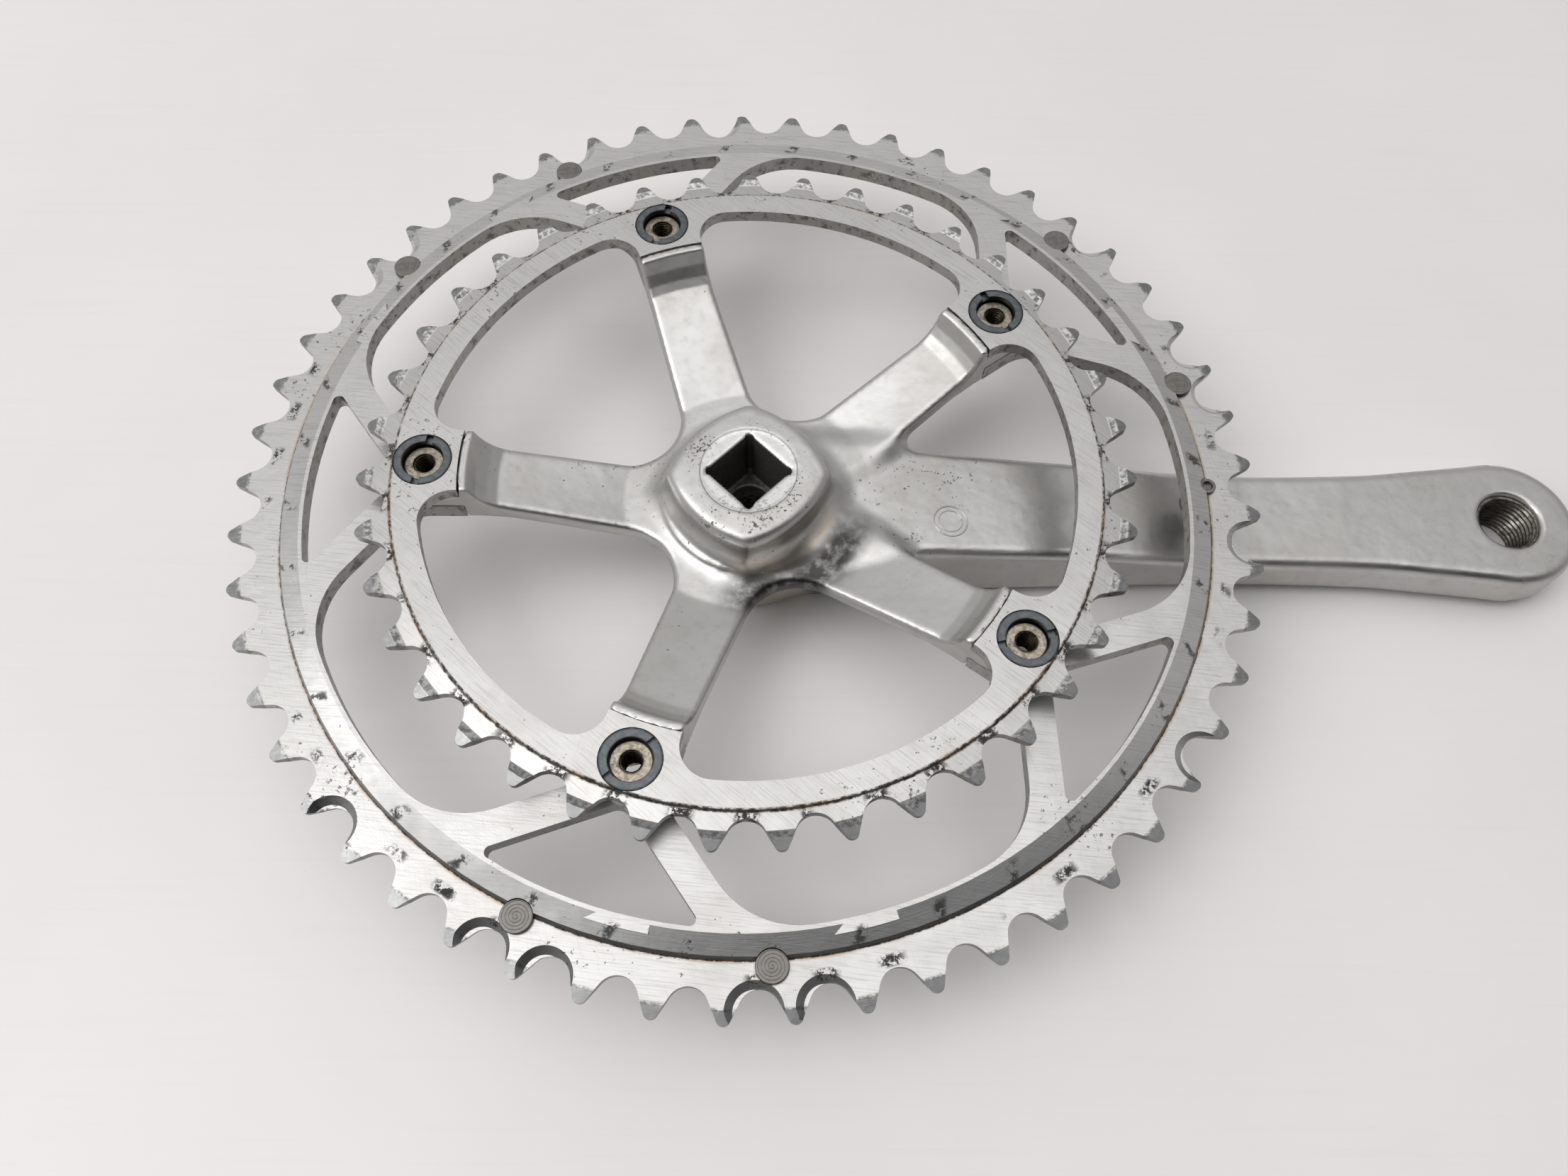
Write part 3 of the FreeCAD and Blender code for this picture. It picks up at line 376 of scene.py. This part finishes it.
# ---------------------------------------------------------------- material graph helper
class Graph:
    """A material being built; sockets and numbers can be mixed in every call."""

    def __init__(self, name):
        self.material = bpy.data.materials.new(name)
        self.material.use_nodes = True
        self.tree = self.material.node_tree
        self.bsdf = self.tree.nodes["Principled BSDF"]

    def add(self, kind, inputs=(), **settings):
        node = self.tree.nodes.new(kind)
        for key, value in settings.items():
            setattr(node, key, value)
        for key, value in dict(inputs).items():
            self.put(node.inputs[key], value)
        return node

    def put(self, socket, value):
        if isinstance(value, bpy.types.NodeSocket):
            self.tree.links.new(value, socket)
        else:
            socket.default_value = value

    def millimetres(self, centre=(0, 0, 0)):
        """Object coordinates from a centre, in millimetres."""
        place = self.add("ShaderNodeTexCoord").outputs["Object"]
        offset = {0: place, 1: [c * MM for c in centre]}
        shifted = self.add("ShaderNodeVectorMath", offset, operation="SUBTRACT").outputs[0]
        scaled = {0: shifted, "Scale": 1 / MM}
        return self.add("ShaderNodeVectorMath", scaled, operation="SCALE").outputs[0]

    def split(self, vector):
        return self.add("ShaderNodeSeparateXYZ", {0: vector}).outputs

    def join(self, x, y, z=0.0):
        return self.add("ShaderNodeCombineXYZ", {0: x, 1: y, 2: z}).outputs[0]

    def math(self, operation, a, b=0.0):
        return self.add("ShaderNodeMath", {0: a, 1: b}, operation=operation).outputs[0]

    def times(self, *factors):
        product = factors[0]
        for factor in factors[1:]:
            product = self.math("MULTIPLY", product, factor)
        return product

    def plus(self, a, b):
        return self.math("ADD", a, b)

    def minus(self, a, b):
        return self.math("SUBTRACT", a, b)

    def most(self, a, b):
        return self.math("MAXIMUM", a, b)

    def polar(self, vector):
        """Radius and angle about the vertical axis."""
        x, y, _ = self.split(vector)
        flat = self.join(x, y)
        radius = self.add("ShaderNodeVectorMath", {0: flat}, operation="LENGTH").outputs["Value"]
        return radius, self.math("ARCTAN2", y, x)

    def noise(self, vector, scale, detail=3.0, roughness=0.5):
        inputs = {"Vector": vector, "Scale": scale, "Detail": detail, "Roughness": roughness}
        return self.add("ShaderNodeTexNoise", inputs).outputs["Fac"]

    def step(self, value, low, high, out_low=0.0, out_high=1.0):
        """Smooth step from out_low at low to out_high at high."""
        inputs = {"Value": value, "From Min": low, "From Max": high, "To Min": out_low, "To Max": out_high}
        return self.add("ShaderNodeMapRange", inputs, interpolation_type="SMOOTHSTEP").outputs["Result"]

    def band(self, value, low, high, soft):
        """One between low and high, fading over soft either way."""
        return self.times(self.step(value, low - soft, low + soft),
                          self.step(value, high - soft, high + soft, 1.0, 0.0))

    def mix(self, amount, a, b):
        node = self.add("ShaderNodeMix", data_type="RGBA")
        self.put(node.inputs["Factor"], amount)
        self.put(node.inputs["A"], a)
        self.put(node.inputs["B"], b)
        return node.outputs["Result"]

    def coat(self, under, amount, strength, over):
        """One colour laid over another where amount says, at most at strength."""
        return self.mix(self.times(amount, strength), under, over)

    def bump(self, height, distance, strength=1.0, normal=None):
        inputs = {"Height": height, "Distance": distance * MM, "Strength": strength}
        if normal is not None:
            inputs["Normal"] = normal
        return self.add("ShaderNodeBump", inputs).outputs["Normal"]

    def facing_up(self):
        return self.split(self.add("ShaderNodeNewGeometry").outputs["Normal"])[2]

    def finish(self, color, roughness, normal, metallic=1.0):
        self.put(self.bsdf.inputs["Base Color"], color)
        self.put(self.bsdf.inputs["Roughness"], roughness)
        self.put(self.bsdf.inputs["Normal"], normal)
        self.put(self.bsdf.inputs["Metallic"], metallic)
        return self.material


def rgb(value, tint=(1.0, 1.0, 1.0)):
    return tuple(value * t for t in tint) + (1.0,)


WARM = (1.0, 0.95, 0.88)
COOL = (0.98, 1.0, 1.02)
BRIGHT = rgb(0.58, (1.0, 0.995, 0.98))
DULL = rgb(0.40, (1.0, 0.98, 0.95))
# near black: grease in the tooth gaps and pits, and a painted shadow along the ring's step
GREASE_AND_SHADOW = rgb(0.025, (1.0, 0.92, 0.85))
# dark brown: dirt in the flecks and threads, and painted shade on the ring's side walls
GRIME_AND_SHADE = rgb(0.10, (1.0, 0.9, 0.78))


def specks(g, place, scale, threshold, patches=0.035):
    """Small dark flecks that gather in patches."""
    fleck = g.noise(place, scale, 4.0, 0.65)
    patch = g.noise(place, patches, 2.0)
    limit = g.minus(threshold + 0.30, g.times(patch, 0.60))
    return g.step(g.minus(fleck, limit), 0.0, 0.035)


def brushed(g, place, degrees, across, along):
    """Fine straight strokes in one direction."""
    inputs = {"Vector": place, "Angle": math.radians(degrees)}
    turned = g.add("ShaderNodeVectorRotate", inputs, rotation_type="Z_AXIS").outputs[0]
    x, y, _ = g.split(turned)
    return g.noise(g.join(g.times(x, along), g.times(y, across)), 1.0, 3.0, 0.6)


def turned_rings(g, radius, angle, across, along=1.0, detail=2.0, roughness=0.6):
    """Concentric marks of a turning tool."""
    return g.noise(g.join(g.times(radius, across), g.times(angle, along)), 1.0, detail, roughness)


def tooth_gaps(g, angle, teeth, first_gap):
    """One in the middle of every gap between teeth, zero at the teeth."""
    per_radian = teeth / (2 * math.pi)
    middle_of_gap = 0.5
    count = g.plus(g.times(angle, per_radian), middle_of_gap - math.radians(first_gap) * per_radian)
    from_gap = g.math("ABSOLUTE", g.minus(g.math("FRACT", count), middle_of_gap))
    return g.step(from_gap, 0.10, 0.26, 1.0, 0.0)


def chain_scratches(g, place, radius, angle, cloud, band):
    """Slanting dark scratches left by the chain on the sloping band."""
    around, slant, wander = 40, 0.03, 0.4
    turn = g.plus(g.times(angle, around / (2 * math.pi)), g.times(radius, slant))
    turn = g.math("FRACT", g.plus(turn, g.times(cloud, wander)))
    from_line = g.math("ABSOLUTE", g.minus(turn, 0.5))
    broken = g.step(g.noise(place, 0.55, 4.0, 0.7), 0.46, 0.56)
    return g.times(g.step(from_line, 0.03, 0.11, 1.0, 0.0), g.band(radius, *band, 0.7), broken)


def ring_metal(name, teeth, first_gap, root_r, step_r, step_half, tip_r, neck, pocket_limit,
               scratch_band, stroke_angle, fleck_limit):
    """Turned aluminium: tool marks, strokes and grease in the tooth gaps, with painted shadow along the
    step and on the tooth necks, painted shade on the side walls and tooth tips, and painted reflections on
    the step and the near sloping faces.
    """
    g = Graph(name)
    place = g.millimetres()
    radius, angle = g.polar(place)
    _, y, _ = g.split(place)
    turning = turned_rings(g, radius, angle, 5.0, 5.0, 3.0, 0.7)
    stroke = brushed(g, place, stroke_angle, 3.4, 0.12)
    second = brushed(g, place, stroke_angle + 67, 2.2, 0.10)
    cloud = g.noise(place, 0.06, 4.0, 0.6)
    fine_cloud = g.noise(place, 0.35, 4.0, 0.6)
    # noise that breaks up the painted shade on the step, tooth tips and necks
    shade_breakup = g.noise(place, 0.9, 5.0, 0.7)
    up = g.math("ABSOLUTE", g.facing_up())
    # painted shade: faces that turn away from straight up are darkened
    wall_shade = g.step(up, 0.15, 0.75, 1.0, 0.0)
    # painted shade in patches on the same side walls, in the dark brown colour
    wall_shade_patches = g.times(wall_shade, g.step(g.noise(place, 0.5, 5.0, 0.65), 0.50, 0.66))
    # painted dark reflection on the slightly sloping faces on the near (-Y) side
    near_slope_reflection = g.times(g.step(up, 0.975, 0.992, 1.0, 0.0), g.step(y, -40.0, -85.0))

    # painted shadow along the step, broken up by noise
    step_shadow = g.times(g.band(radius, step_r - step_half, step_r + step_half, 0.12),
                        g.step(shade_breakup, 0.36, 0.60))
    pocket = g.times(g.band(radius, root_r - 1.3, root_r + 0.7, 0.35),
                     tooth_gaps(g, angle, teeth, first_gap),
                     g.step(g.noise(place, 0.75, 5.0, 0.75), 0.47, 0.53),
                     g.step(g.noise(place, 0.045), pocket_limit, pocket_limit + 0.06))
    # real grease in the tooth gaps together with the painted shadow along the step; both are near black and
    # less metallic
    grease_and_step_shadow = g.most(step_shadow, pocket)
    # painted shade on the chamfered tooth tips, uneven in strength
    tip_shade = g.step(radius, tip_r - 0.25, tip_r + 0.25)
    # painted shadow on the tooth necks just inside the tips, in patches
    neck_shadow = g.times(g.band(radius, tip_r - neck, tip_r, 0.25), g.step(shade_breakup, 0.38, 0.60))
    flecks = specks(g, place, 0.8, fleck_limit)
    scratch = chain_scratches(g, place, radius, angle, cloud, scratch_band)
    # painted warm reflection along the step
    copper_reflection = g.times(g.band(radius, step_r - 0.5, step_r + 0.5, 0.15), g.step(cloud, 0.4, 0.6))

    color = g.mix(g.step(cloud, 0.35, 0.7), BRIGHT, rgb(0.54, (1.0, 0.99, 0.97)))
    color = g.coat(color, g.step(stroke, 0.48, 0.66), 0.6, DULL)
    color = g.coat(color, g.step(second, 0.55, 0.72), 0.25, DULL)
    color = g.mix(copper_reflection, color, rgb(0.45, (1.0, 0.84, 0.70)))
    color = g.coat(color, wall_shade, 0.6, rgb(0.24, WARM))
    color = g.coat(color, wall_shade_patches, 0.8, GRIME_AND_SHADE)
    color = g.coat(color, near_slope_reflection, 0.8, rgb(0.17, (0.98, 0.99, 1.0)))
    color = g.mix(g.times(tip_shade, g.step(shade_breakup, 0.3, 0.6, 0.55, 0.9)), color, rgb(0.22, COOL))
    color = g.coat(color, neck_shadow, 0.8, rgb(0.09, COOL))
    color = g.coat(color, flecks, 0.7, GRIME_AND_SHADE)
    color = g.coat(color, scratch, 0.85, rgb(0.04))
    color = g.mix(grease_and_step_shadow, color, GREASE_AND_SHADOW)

    marks = g.most(g.most(flecks, scratch), grease_and_step_shadow)
    rough = g.plus(g.step(cloud, 0.3, 0.7, 0.24, 0.34), g.times(fine_cloud, 0.12))
    rough = g.plus(rough, g.times(marks, 0.25))
    height = g.plus(g.times(turning, 0.6), g.times(stroke, 0.5))
    height = g.plus(height, g.times(second, 0.35))
    height = g.minus(height, g.times(marks, 0.8))
    ripple = g.bump(g.noise(place, 0.25, 2.0), 0.05, 1.0, g.bump(height, 0.028))
    return g.finish(color, rough, ripple, g.minus(1.0, g.times(grease_and_step_shadow, 0.8)))


def forged_metal():
    """Satin forged aluminium: mottling, flecks, water spots and a machined seat, with painted shade on
    undersides, in the socket and at the seat's rim, and a painted dark reflection and golden highlight on
    the flare.
    """
    g = Graph("forged")
    place = g.millimetres()
    radius, angle = g.polar(place)
    x, y, z = g.split(place)
    cloud = g.noise(place, 0.05, 4.0, 0.6)
    drift = g.noise(place, 0.4, 4.0, 0.6)
    skin = g.noise(place, 2.6, 4.0, 0.65)
    stroke = brushed(g, place, 20, 2.8, 0.16)
    # painted shade on faces turned sideways or down
    underside_shade = g.step(g.facing_up(), -0.2, 0.5, 1.0, 0.0)
    flecks = g.times(specks(g, place, 0.9, 0.685), g.step(x, 45.0, 80.0, 1.0, 0.12))
    spots = g.add("ShaderNodeTexVoronoi", {"Vector": place, "Scale": 0.16}, feature="F1")
    water_mark = g.times(g.band(spots.outputs["Distance"], 0.16, 0.19, 0.015), g.step(cloud, 0.52, 0.62))

    # the boss: pitted face, machined seat round the socket with a painted shade line at its rim, painted
    # shade in the socket
    on_face = g.step(z, -1.0, -0.5)
    face_band = g.times(g.band(radius, 8.0, 13.5, 2.2), g.step(z, -1.2, -0.4))
    pits = g.times(face_band, specks(g, place, 1.4, 0.625, 0.07))
    machined = g.times(g.step(radius, SPOTFACE_R + 0.2, SPOTFACE_R - 0.1), on_face)
    # painted shade line at the rim of the machined seat, also sunk into the bump
    rim = g.times(g.band(radius, SPOTFACE_R - 0.1, SPOTFACE_R + 0.25, 0.12), on_face)
    turning = turned_rings(g, radius, angle, 4.5, 1.5)
    socket = g.times(g.step(radius, 9.4, 9.0), g.step(z, -0.3, -1.0))
    # painted shade inside the socket, slightly uneven
    socket_shade = g.times(socket, g.step(g.noise(place, 0.9, 4.0, 0.6), 0.2, 0.5, 0.80, 0.97))

    # painted dark reflection on one side of the flare under the boss, with a painted warm highlight above
    # it
    reflection_way = (0.52, -0.854)
    share = g.plus(g.times(x, reflection_way[0]), g.times(y, reflection_way[1]))
    side = g.times(g.step(g.math("DIVIDE", share, radius), 0.60, 0.88), g.step(z, -2.5, -4.5))
    dark_reflection = g.times(g.band(radius, 20.0, 27.5, 2.2), side, g.step(drift, 0.25, 0.6, 0.6, 1.0))
    # painted golden highlight
    golden_highlight = g.times(g.band(radius, 17.2, 19.4, 0.9), side)

    color = g.mix(g.step(cloud, 0.3, 0.7), BRIGHT, rgb(0.52, (1.0, 0.985, 0.95)))
    color = g.coat(color, g.step(drift, 0.5, 0.75), 0.25, rgb(0.38, (1.0, 0.97, 0.92)))
    color = g.coat(color, water_mark, 0.35, DULL)
    color = g.coat(color, flecks, 0.75, GRIME_AND_SHADE)
    color = g.coat(color, pits, 0.9, GREASE_AND_SHADOW)
    color = g.coat(color, dark_reflection, 0.97, rgb(0.045, (1.0, 0.96, 0.92)))
    color = g.coat(color, golden_highlight, 0.6, rgb(0.80, (1.0, 0.87, 0.72)))
    color = g.coat(color, rim, 0.75, rgb(0.20, (1.0, 0.97, 0.93)))
    color = g.coat(color, machined, 0.5, rgb(0.82))
    color = g.mix(socket_shade, color, rgb(0.035, (1.0, 0.95, 0.9)))
    color = g.coat(color, underside_shade, 0.25, rgb(0.30, (1.0, 0.97, 0.93)))

    marks = g.most(flecks, pits)
    rough = g.plus(g.step(cloud, 0.3, 0.7, 0.26, 0.36), g.times(drift, 0.12))
    rough = g.plus(rough, g.times(marks, 0.25))
    height = g.plus(g.times(skin, 0.5), g.times(stroke, 0.4))
    height = g.minus(g.minus(height, g.times(marks, 0.9)), rim)
    height = g.plus(height, g.times(machined, turning, 1.4))
    ripple = g.bump(g.noise(place, 0.16, 2.0), 0.16, 1.0, g.bump(height, 0.022))
    return g.finish(color, rough, ripple, g.minus(1.0, g.times(socket, 0.6)))


def thread_metal(name, scale, limits, light, dark, roughness):
    """Cut thread with oil and dirt in it."""
    g = Graph(name)
    place = g.millimetres()
    cloud = g.noise(place, scale, 4.0, 0.6)
    color = g.mix(g.step(cloud, *limits), light, dark)
    return g.finish(color, g.step(cloud, 0.3, 0.7, *roughness), g.bump(g.noise(place, 3.0), 0.02))


def nut_metal(name, centre):
    """Dark anodised flange with scuffs and painted shade towards its mouth."""
    g = Graph(name)
    place = g.millimetres(centre)
    radius, angle = g.polar(place)
    scuff = brushed(g, place, 35, 4.0, 0.5)
    cloud = g.noise(place, 0.9, 4.0, 0.6)
    turning = turned_rings(g, radius, angle, 7.0)
    rim = g.step(radius, 5.55, 5.95)
    # painted shade towards the mouth
    mouth_shade = g.step(radius, 4.6, 4.2)
    color = g.mix(g.step(cloud, 0.35, 0.7), rgb(0.115, (0.90, 1.0, 1.10)), rgb(0.17, (0.92, 1.0, 1.06)))
    color = g.coat(color, g.step(scuff, 0.58, 0.72), 0.5, rgb(0.27, (0.97, 1.0, 1.02)))
    color = g.coat(color, mouth_shade, 0.8, rgb(0.03, (1.0, 0.95, 0.85)))
    color = g.mix(g.times(rim, g.step(cloud, 0.3, 0.5)), color, rgb(0.04))
    rough = g.step(cloud, 0.3, 0.7, 0.34, 0.46)
    return g.finish(color, rough, g.bump(g.plus(turning, scuff), 0.015))


def bolt_metal(name, centre):
    """Tarnished nickel end of the hollow bolt, with brownish painted shade towards its bore."""
    g = Graph(name)
    place = g.millimetres(centre)
    radius, angle = g.polar(place)
    cloud = g.noise(place, 1.2, 5.0, 0.65)
    turning = turned_rings(g, radius, angle, 6.0)
    # painted shade towards the bore
    bore_shade = g.step(radius, 2.7, 2.2)
    color = g.mix(g.step(cloud, 0.35, 0.65), rgb(0.44, (1.0, 0.92, 0.78)), rgb(0.24, (1.0, 0.85, 0.64)))
    color = g.coat(color, bore_shade, 0.8, rgb(0.03, (1.0, 0.78, 0.55)))
    color = g.coat(color, specks(g, place, 2.5, 0.60, 0.3), 0.8, GRIME_AND_SHADE)
    return g.finish(color, g.step(cloud, 0.3, 0.7, 0.24, 0.42), g.bump(g.plus(turning, cloud), 0.03))


def pin_metal(name, centre):
    """Steel pin with the spiral left by the facing tool."""
    g = Graph(name)
    place = g.millimetres(centre)
    radius, angle = g.polar(place)
    cloud = g.noise(place, 0.8, 4.0, 0.6)
    turns_per_mm, turns_per_radian = 1.55, 0.5 / math.pi
    turn = g.plus(g.times(radius, turns_per_mm), g.times(angle, turns_per_radian))
    groove = g.math("ABSOLUTE", g.minus(g.math("FRACT", turn), 0.5))
    line = g.step(groove, 0.0, 0.10, 1.0, 0.0)
    edge = g.step(radius, 2.95, 3.1)
    fine = turned_rings(g, radius, angle, 9.0)
    color = g.mix(g.step(cloud, 0.3, 0.7), rgb(0.17, (1.0, 0.97, 0.92)), rgb(0.24, (1.0, 0.96, 0.90)))
    color = g.coat(color, line, 0.5, rgb(0.07, (1.0, 0.92, 0.85)))
    color = g.coat(color, edge, 0.6, rgb(0.04))
    height = g.minus(g.times(fine, 0.5), line)
    return g.finish(color, g.step(cloud, 0.3, 0.7, 0.36, 0.48), g.bump(height, 0.03))


def table_surface():
    """Pale smooth table with a faint grain."""
    g = Graph("table")
    place = g.millimetres()
    paint = (1.0, 0.985, 0.978)
    cloud = g.noise(place, 0.01, 4.0, 0.6)
    grain = brushed(g, place, 0, 0.5, 0.02)
    dust = g.step(g.noise(place, 0.55, 2.0), 0.80, 0.84)
    color = g.mix(g.step(cloud, 0.3, 0.7), rgb(0.83, paint), rgb(0.86, paint))
    color = g.coat(color, g.step(grain, 0.5, 0.8), 0.05, rgb(0.5))
    color = g.coat(color, dust, 0.7, rgb(0.2))
    return g.finish(color, 0.42, g.bump(grain, 0.01), 0.0)


# ---------------------------------------------------------------- put it together
def wear(node, material):
    """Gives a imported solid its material."""
    piece = bpy.data.objects[node]
    for slot in piece.material_slots:
        slot.material = material


def middle(node):
    """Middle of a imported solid, in millimetres."""
    low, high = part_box(node)
    return tuple((a + b) / 2 / MM for a, b in zip(low, high))


body = forging()
body.data.materials.append(forged_metal())
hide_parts("crank_arm")
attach(body, "root")

cut_thread = thread_metal("thread_cut", 0.8, (0.35, 0.65), rgb(0.26, (1.0, 0.95, 0.86)), GRIME_AND_SHADE, (0.3, 0.5))
pedal = thread("pedal_thread", (CRANK_LENGTH, 0), OUTBOARD + 0.3, EYE_FACE - 0.9,
               crest=6.0, root=6.6, outer=7.1, pitch=1.27)
extractor = thread("extractor_thread", (0, 0), OUTBOARD + 1.0, SHELF_Z - 0.2,
                   crest=10.0, root=10.6, outer=11.2, pitch=1.0)

brown = (1.0, 0.80, 0.60)
lining = thread_metal("bolt_thread_cut", 1.5, (0.4, 0.65), rgb(0.10, brown), rgb(0.03, brown), (0.35, 0.55))
for k in range(ARMS):
    angle = FIRST_ARM + k * SECTOR
    centre = (BOLT_R * math.cos(angle), BOLT_R * math.sin(angle))
    liner = thread("bolt_thread_%d" % (k + 1), centre, *LINER_ENDS,
                   crest=1.75, root=2.1, outer=2.35, pitch=0.8)
    liner.data.materials.append(lining)
    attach(liner, "root")

marks = [round_mark("round_mark_outer", 3.7), round_mark("round_mark_inner", 2.6, 0.12)]
for piece in (pedal, extractor, *marks):
    piece.data.materials.append(body.data.materials[0] if piece in marks else cut_thread)
    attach(piece, "root")

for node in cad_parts:
    name = node if isinstance(node, str) else node["node"]
    if name == "inner_chainring":
        wear(name, ring_metal("inner_ring_metal", teeth=39, first_gap=2.77, root_r=75.0, step_r=73.7,
                              step_half=0.35, tip_r=79.0, neck=1.5, pocket_limit=0.42,
                              scratch_band=(PILOT_R, PILOT_R), stroke_angle=40, fleck_limit=0.68))
    elif name == "outer_chainring":
        wear(name, ring_metal("outer_ring_metal", teeth=53, first_gap=0.0, root_r=102.2, step_r=98.6,
                              step_half=0.18, tip_r=107.2, neck=0.6, pocket_limit=0.53,
                              scratch_band=(95.0, 98.2), stroke_angle=6, fleck_limit=0.71))
    elif name.startswith("chainring_nut"):
        wear(name, nut_metal(name + "_metal", middle(name)))
    elif name.startswith("chainring_bolt"):
        wear(name, bolt_metal(name + "_metal", middle(name)))
    elif name.startswith("shift_pin") or name == "chain_stop_pin":
        wear(name, pin_metal(name + "_metal", middle(name)))

# ---------------------------------------------------------------- table, light and camera
floor_z = OUTBOARD * MM
bpy.ops.mesh.primitive_grid_add(x_subdivisions=8, y_subdivisions=8, size=6.0, location=(0, 0, floor_z))
table = bpy.context.object
table.name = "table"
table.data.materials.append(table_surface())


def window(place, size, power, tint):
    """Square soft light aimed at the object."""
    light = bpy.data.lights.new("window", "AREA")
    light.shape, light.size = "SQUARE", size
    light.energy, light.color = power, tint
    lamp = bpy.data.objects.new("window", light)
    lamp.location = place
    lamp.rotation_mode = "QUATERNION"
    lamp.rotation_quaternion = (-Vector(place)).to_track_quat("-Z", "Y")
    bpy.context.scene.collection.objects.link(lamp)


window(place=(-0.90, -0.30, 1.20), size=1.0, power=8.5, tint=(1.0, 0.99, 0.98))


def studio_world():
    """Bright overhead, dark high up on the viewer's side, a little darker to the right."""
    world = bpy.data.worlds.new("studio")
    world.use_nodes = True
    tree = world.node_tree
    direction = tree.nodes.new("ShaderNodeTexCoord").outputs["Generated"]
    split = tree.nodes.new("ShaderNodeSeparateXYZ")
    tree.links.new(direction, split.inputs[0])

    def step(value, low, high, out_low, out_high):
        node = tree.nodes.new("ShaderNodeMapRange")
        node.interpolation_type = "SMOOTHSTEP"
        limits = {"From Min": low, "From Max": high, "To Min": out_low, "To Max": out_high}
        for key, number in limits.items():
            node.inputs[key].default_value = number
        tree.links.new(value, node.inputs["Value"])
        return node.outputs["Result"]

    def combine(a, b, operation="MULTIPLY"):
        node = tree.nodes.new("ShaderNodeMath")
        node.operation = operation
        tree.links.new(a, node.inputs[0])
        tree.links.new(b, node.inputs[1])
        return node.outputs[0]

    overhead = step(split.outputs["Z"], 0.70, 0.98, 0.66, 1.62)
    viewer = step(split.outputs["Y"], -0.42, -0.14, 0.05, 1.0)
    horizon = step(split.outputs["Z"], 0.20, 0.42, 0.85, 0.0)
    viewer = combine(viewer, horizon, "MAXIMUM")
    right_side = step(split.outputs["X"], 0.10, 0.70, 1.0, 0.66)
    background = tree.nodes["Background"]
    background.inputs["Color"].default_value = (1.0, 0.985, 0.98, 1.0)
    strength = combine(combine(overhead, viewer), right_side)
    tree.links.new(strength, background.inputs["Strength"])
    return world


bpy.context.scene.world = studio_world()
bpy.context.scene.view_settings.view_transform = "Standard"

camera = bpy.data.objects.new("camera", bpy.data.cameras.new("camera"))
camera.data.lens, camera.data.sensor_width = 26.95, 36.0
right = Vector((0.999901, -0.000364, 0.014052))
up = Vector((-0.005809, 0.899614, 0.436648))
back = Vector((-0.012800, -0.436686, 0.899523))
turn = Matrix((right, up, back)).transposed().to_4x4()
camera_at = Vector((4.413, -130.081, 211.105)) * MM
camera.matrix_world = Matrix.Translation(camera_at) @ turn
camera.data.clip_start, camera.data.clip_end = 0.01, 20.0
bpy.context.scene.collection.objects.link(camera)
bpy.context.scene.camera = camera
